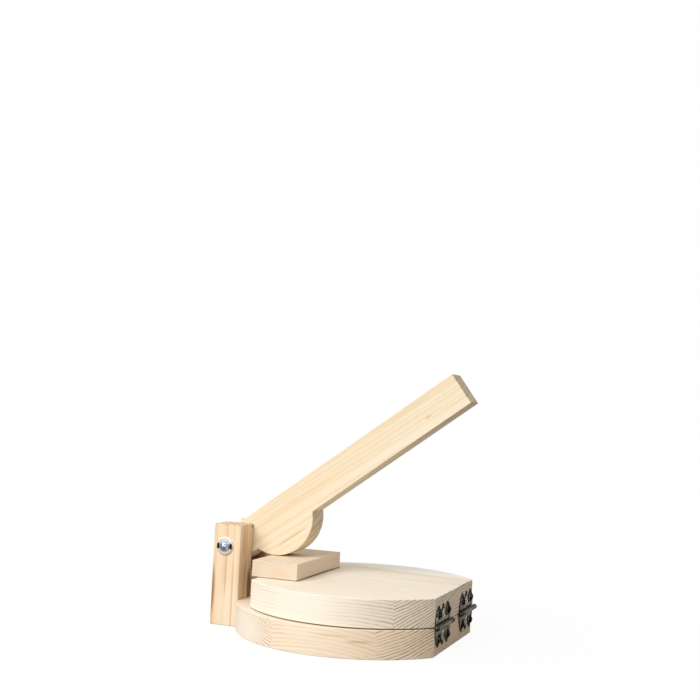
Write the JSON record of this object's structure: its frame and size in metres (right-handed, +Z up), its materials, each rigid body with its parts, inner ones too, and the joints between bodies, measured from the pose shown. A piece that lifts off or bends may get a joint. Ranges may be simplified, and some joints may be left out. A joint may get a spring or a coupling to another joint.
{
  "type": "tortilla press",
  "caption": "Wooden tortilla press: round base and hinged round top plate, a forked post, and a cam lever that bears on a block to squeeze dough flat.",
  "frame": {"origin": "centre of the round base plate's underside", "axes": "+X from the post to the hinges, +Y from the bolt's head side to its nut side, +Z up"},
  "size_m": [0.175, 0.164, 0.1781],
  "materials": {
    "plate_pine": "sanded pale pine, unvarnished",
    "post_pine": "sanded warm pine, unvarnished",
    "lever_pine": "sanded pine with long straight grain, unvarnished",
    "dowel_beech": "plain turned dowel",
    "bronze": "dark antique bronze, rubbed lighter on raised edges",
    "zinc": "bright zinc plate"
  },
  "bodies": {
    "base": {"base_plate": "plate_pine", "fork_post": "post_pine", "post_screws": "zinc", "pivot_bolt": "zinc", "head_washer": "zinc", "nut_washer": "zinc", "pivot_nut": "zinc", "near_base_leaf": "bronze", "near_hinge_pin": "bronze", "near_base_screws": "bronze", "far_base_leaf": "bronze", "far_hinge_pin": "bronze", "far_base_screws": "bronze"},
    "lid": {"top_plate": "plate_pine", "presser_block": "post_pine", "block_dowels": "dowel_beech", "near_top_leaf": "bronze", "near_top_screws": "bronze", "far_top_leaf": "bronze", "far_top_screws": "bronze"},
    "lever": {"lever": "lever_pine"}
  },
  "joints": [
    {"name": "lid_hinge", "type": "hinge", "parent": "base", "child": "lid", "pos_m": [0.06995, 0, 0.0183], "axis": [0, 1, 0], "range_deg": [0, 32]},
    {"name": "lever_pivot", "type": "hinge", "parent": "base", "child": "lever", "pos_m": [-0.08791, 0, 0.05379], "axis": [0, -1, 0], "range_deg": [0, 153.6]}
  ],
  "couplings": [
    {"joint": "lever_pivot", "follows": "lid_hinge", "ratio": 4.8}
  ]
}
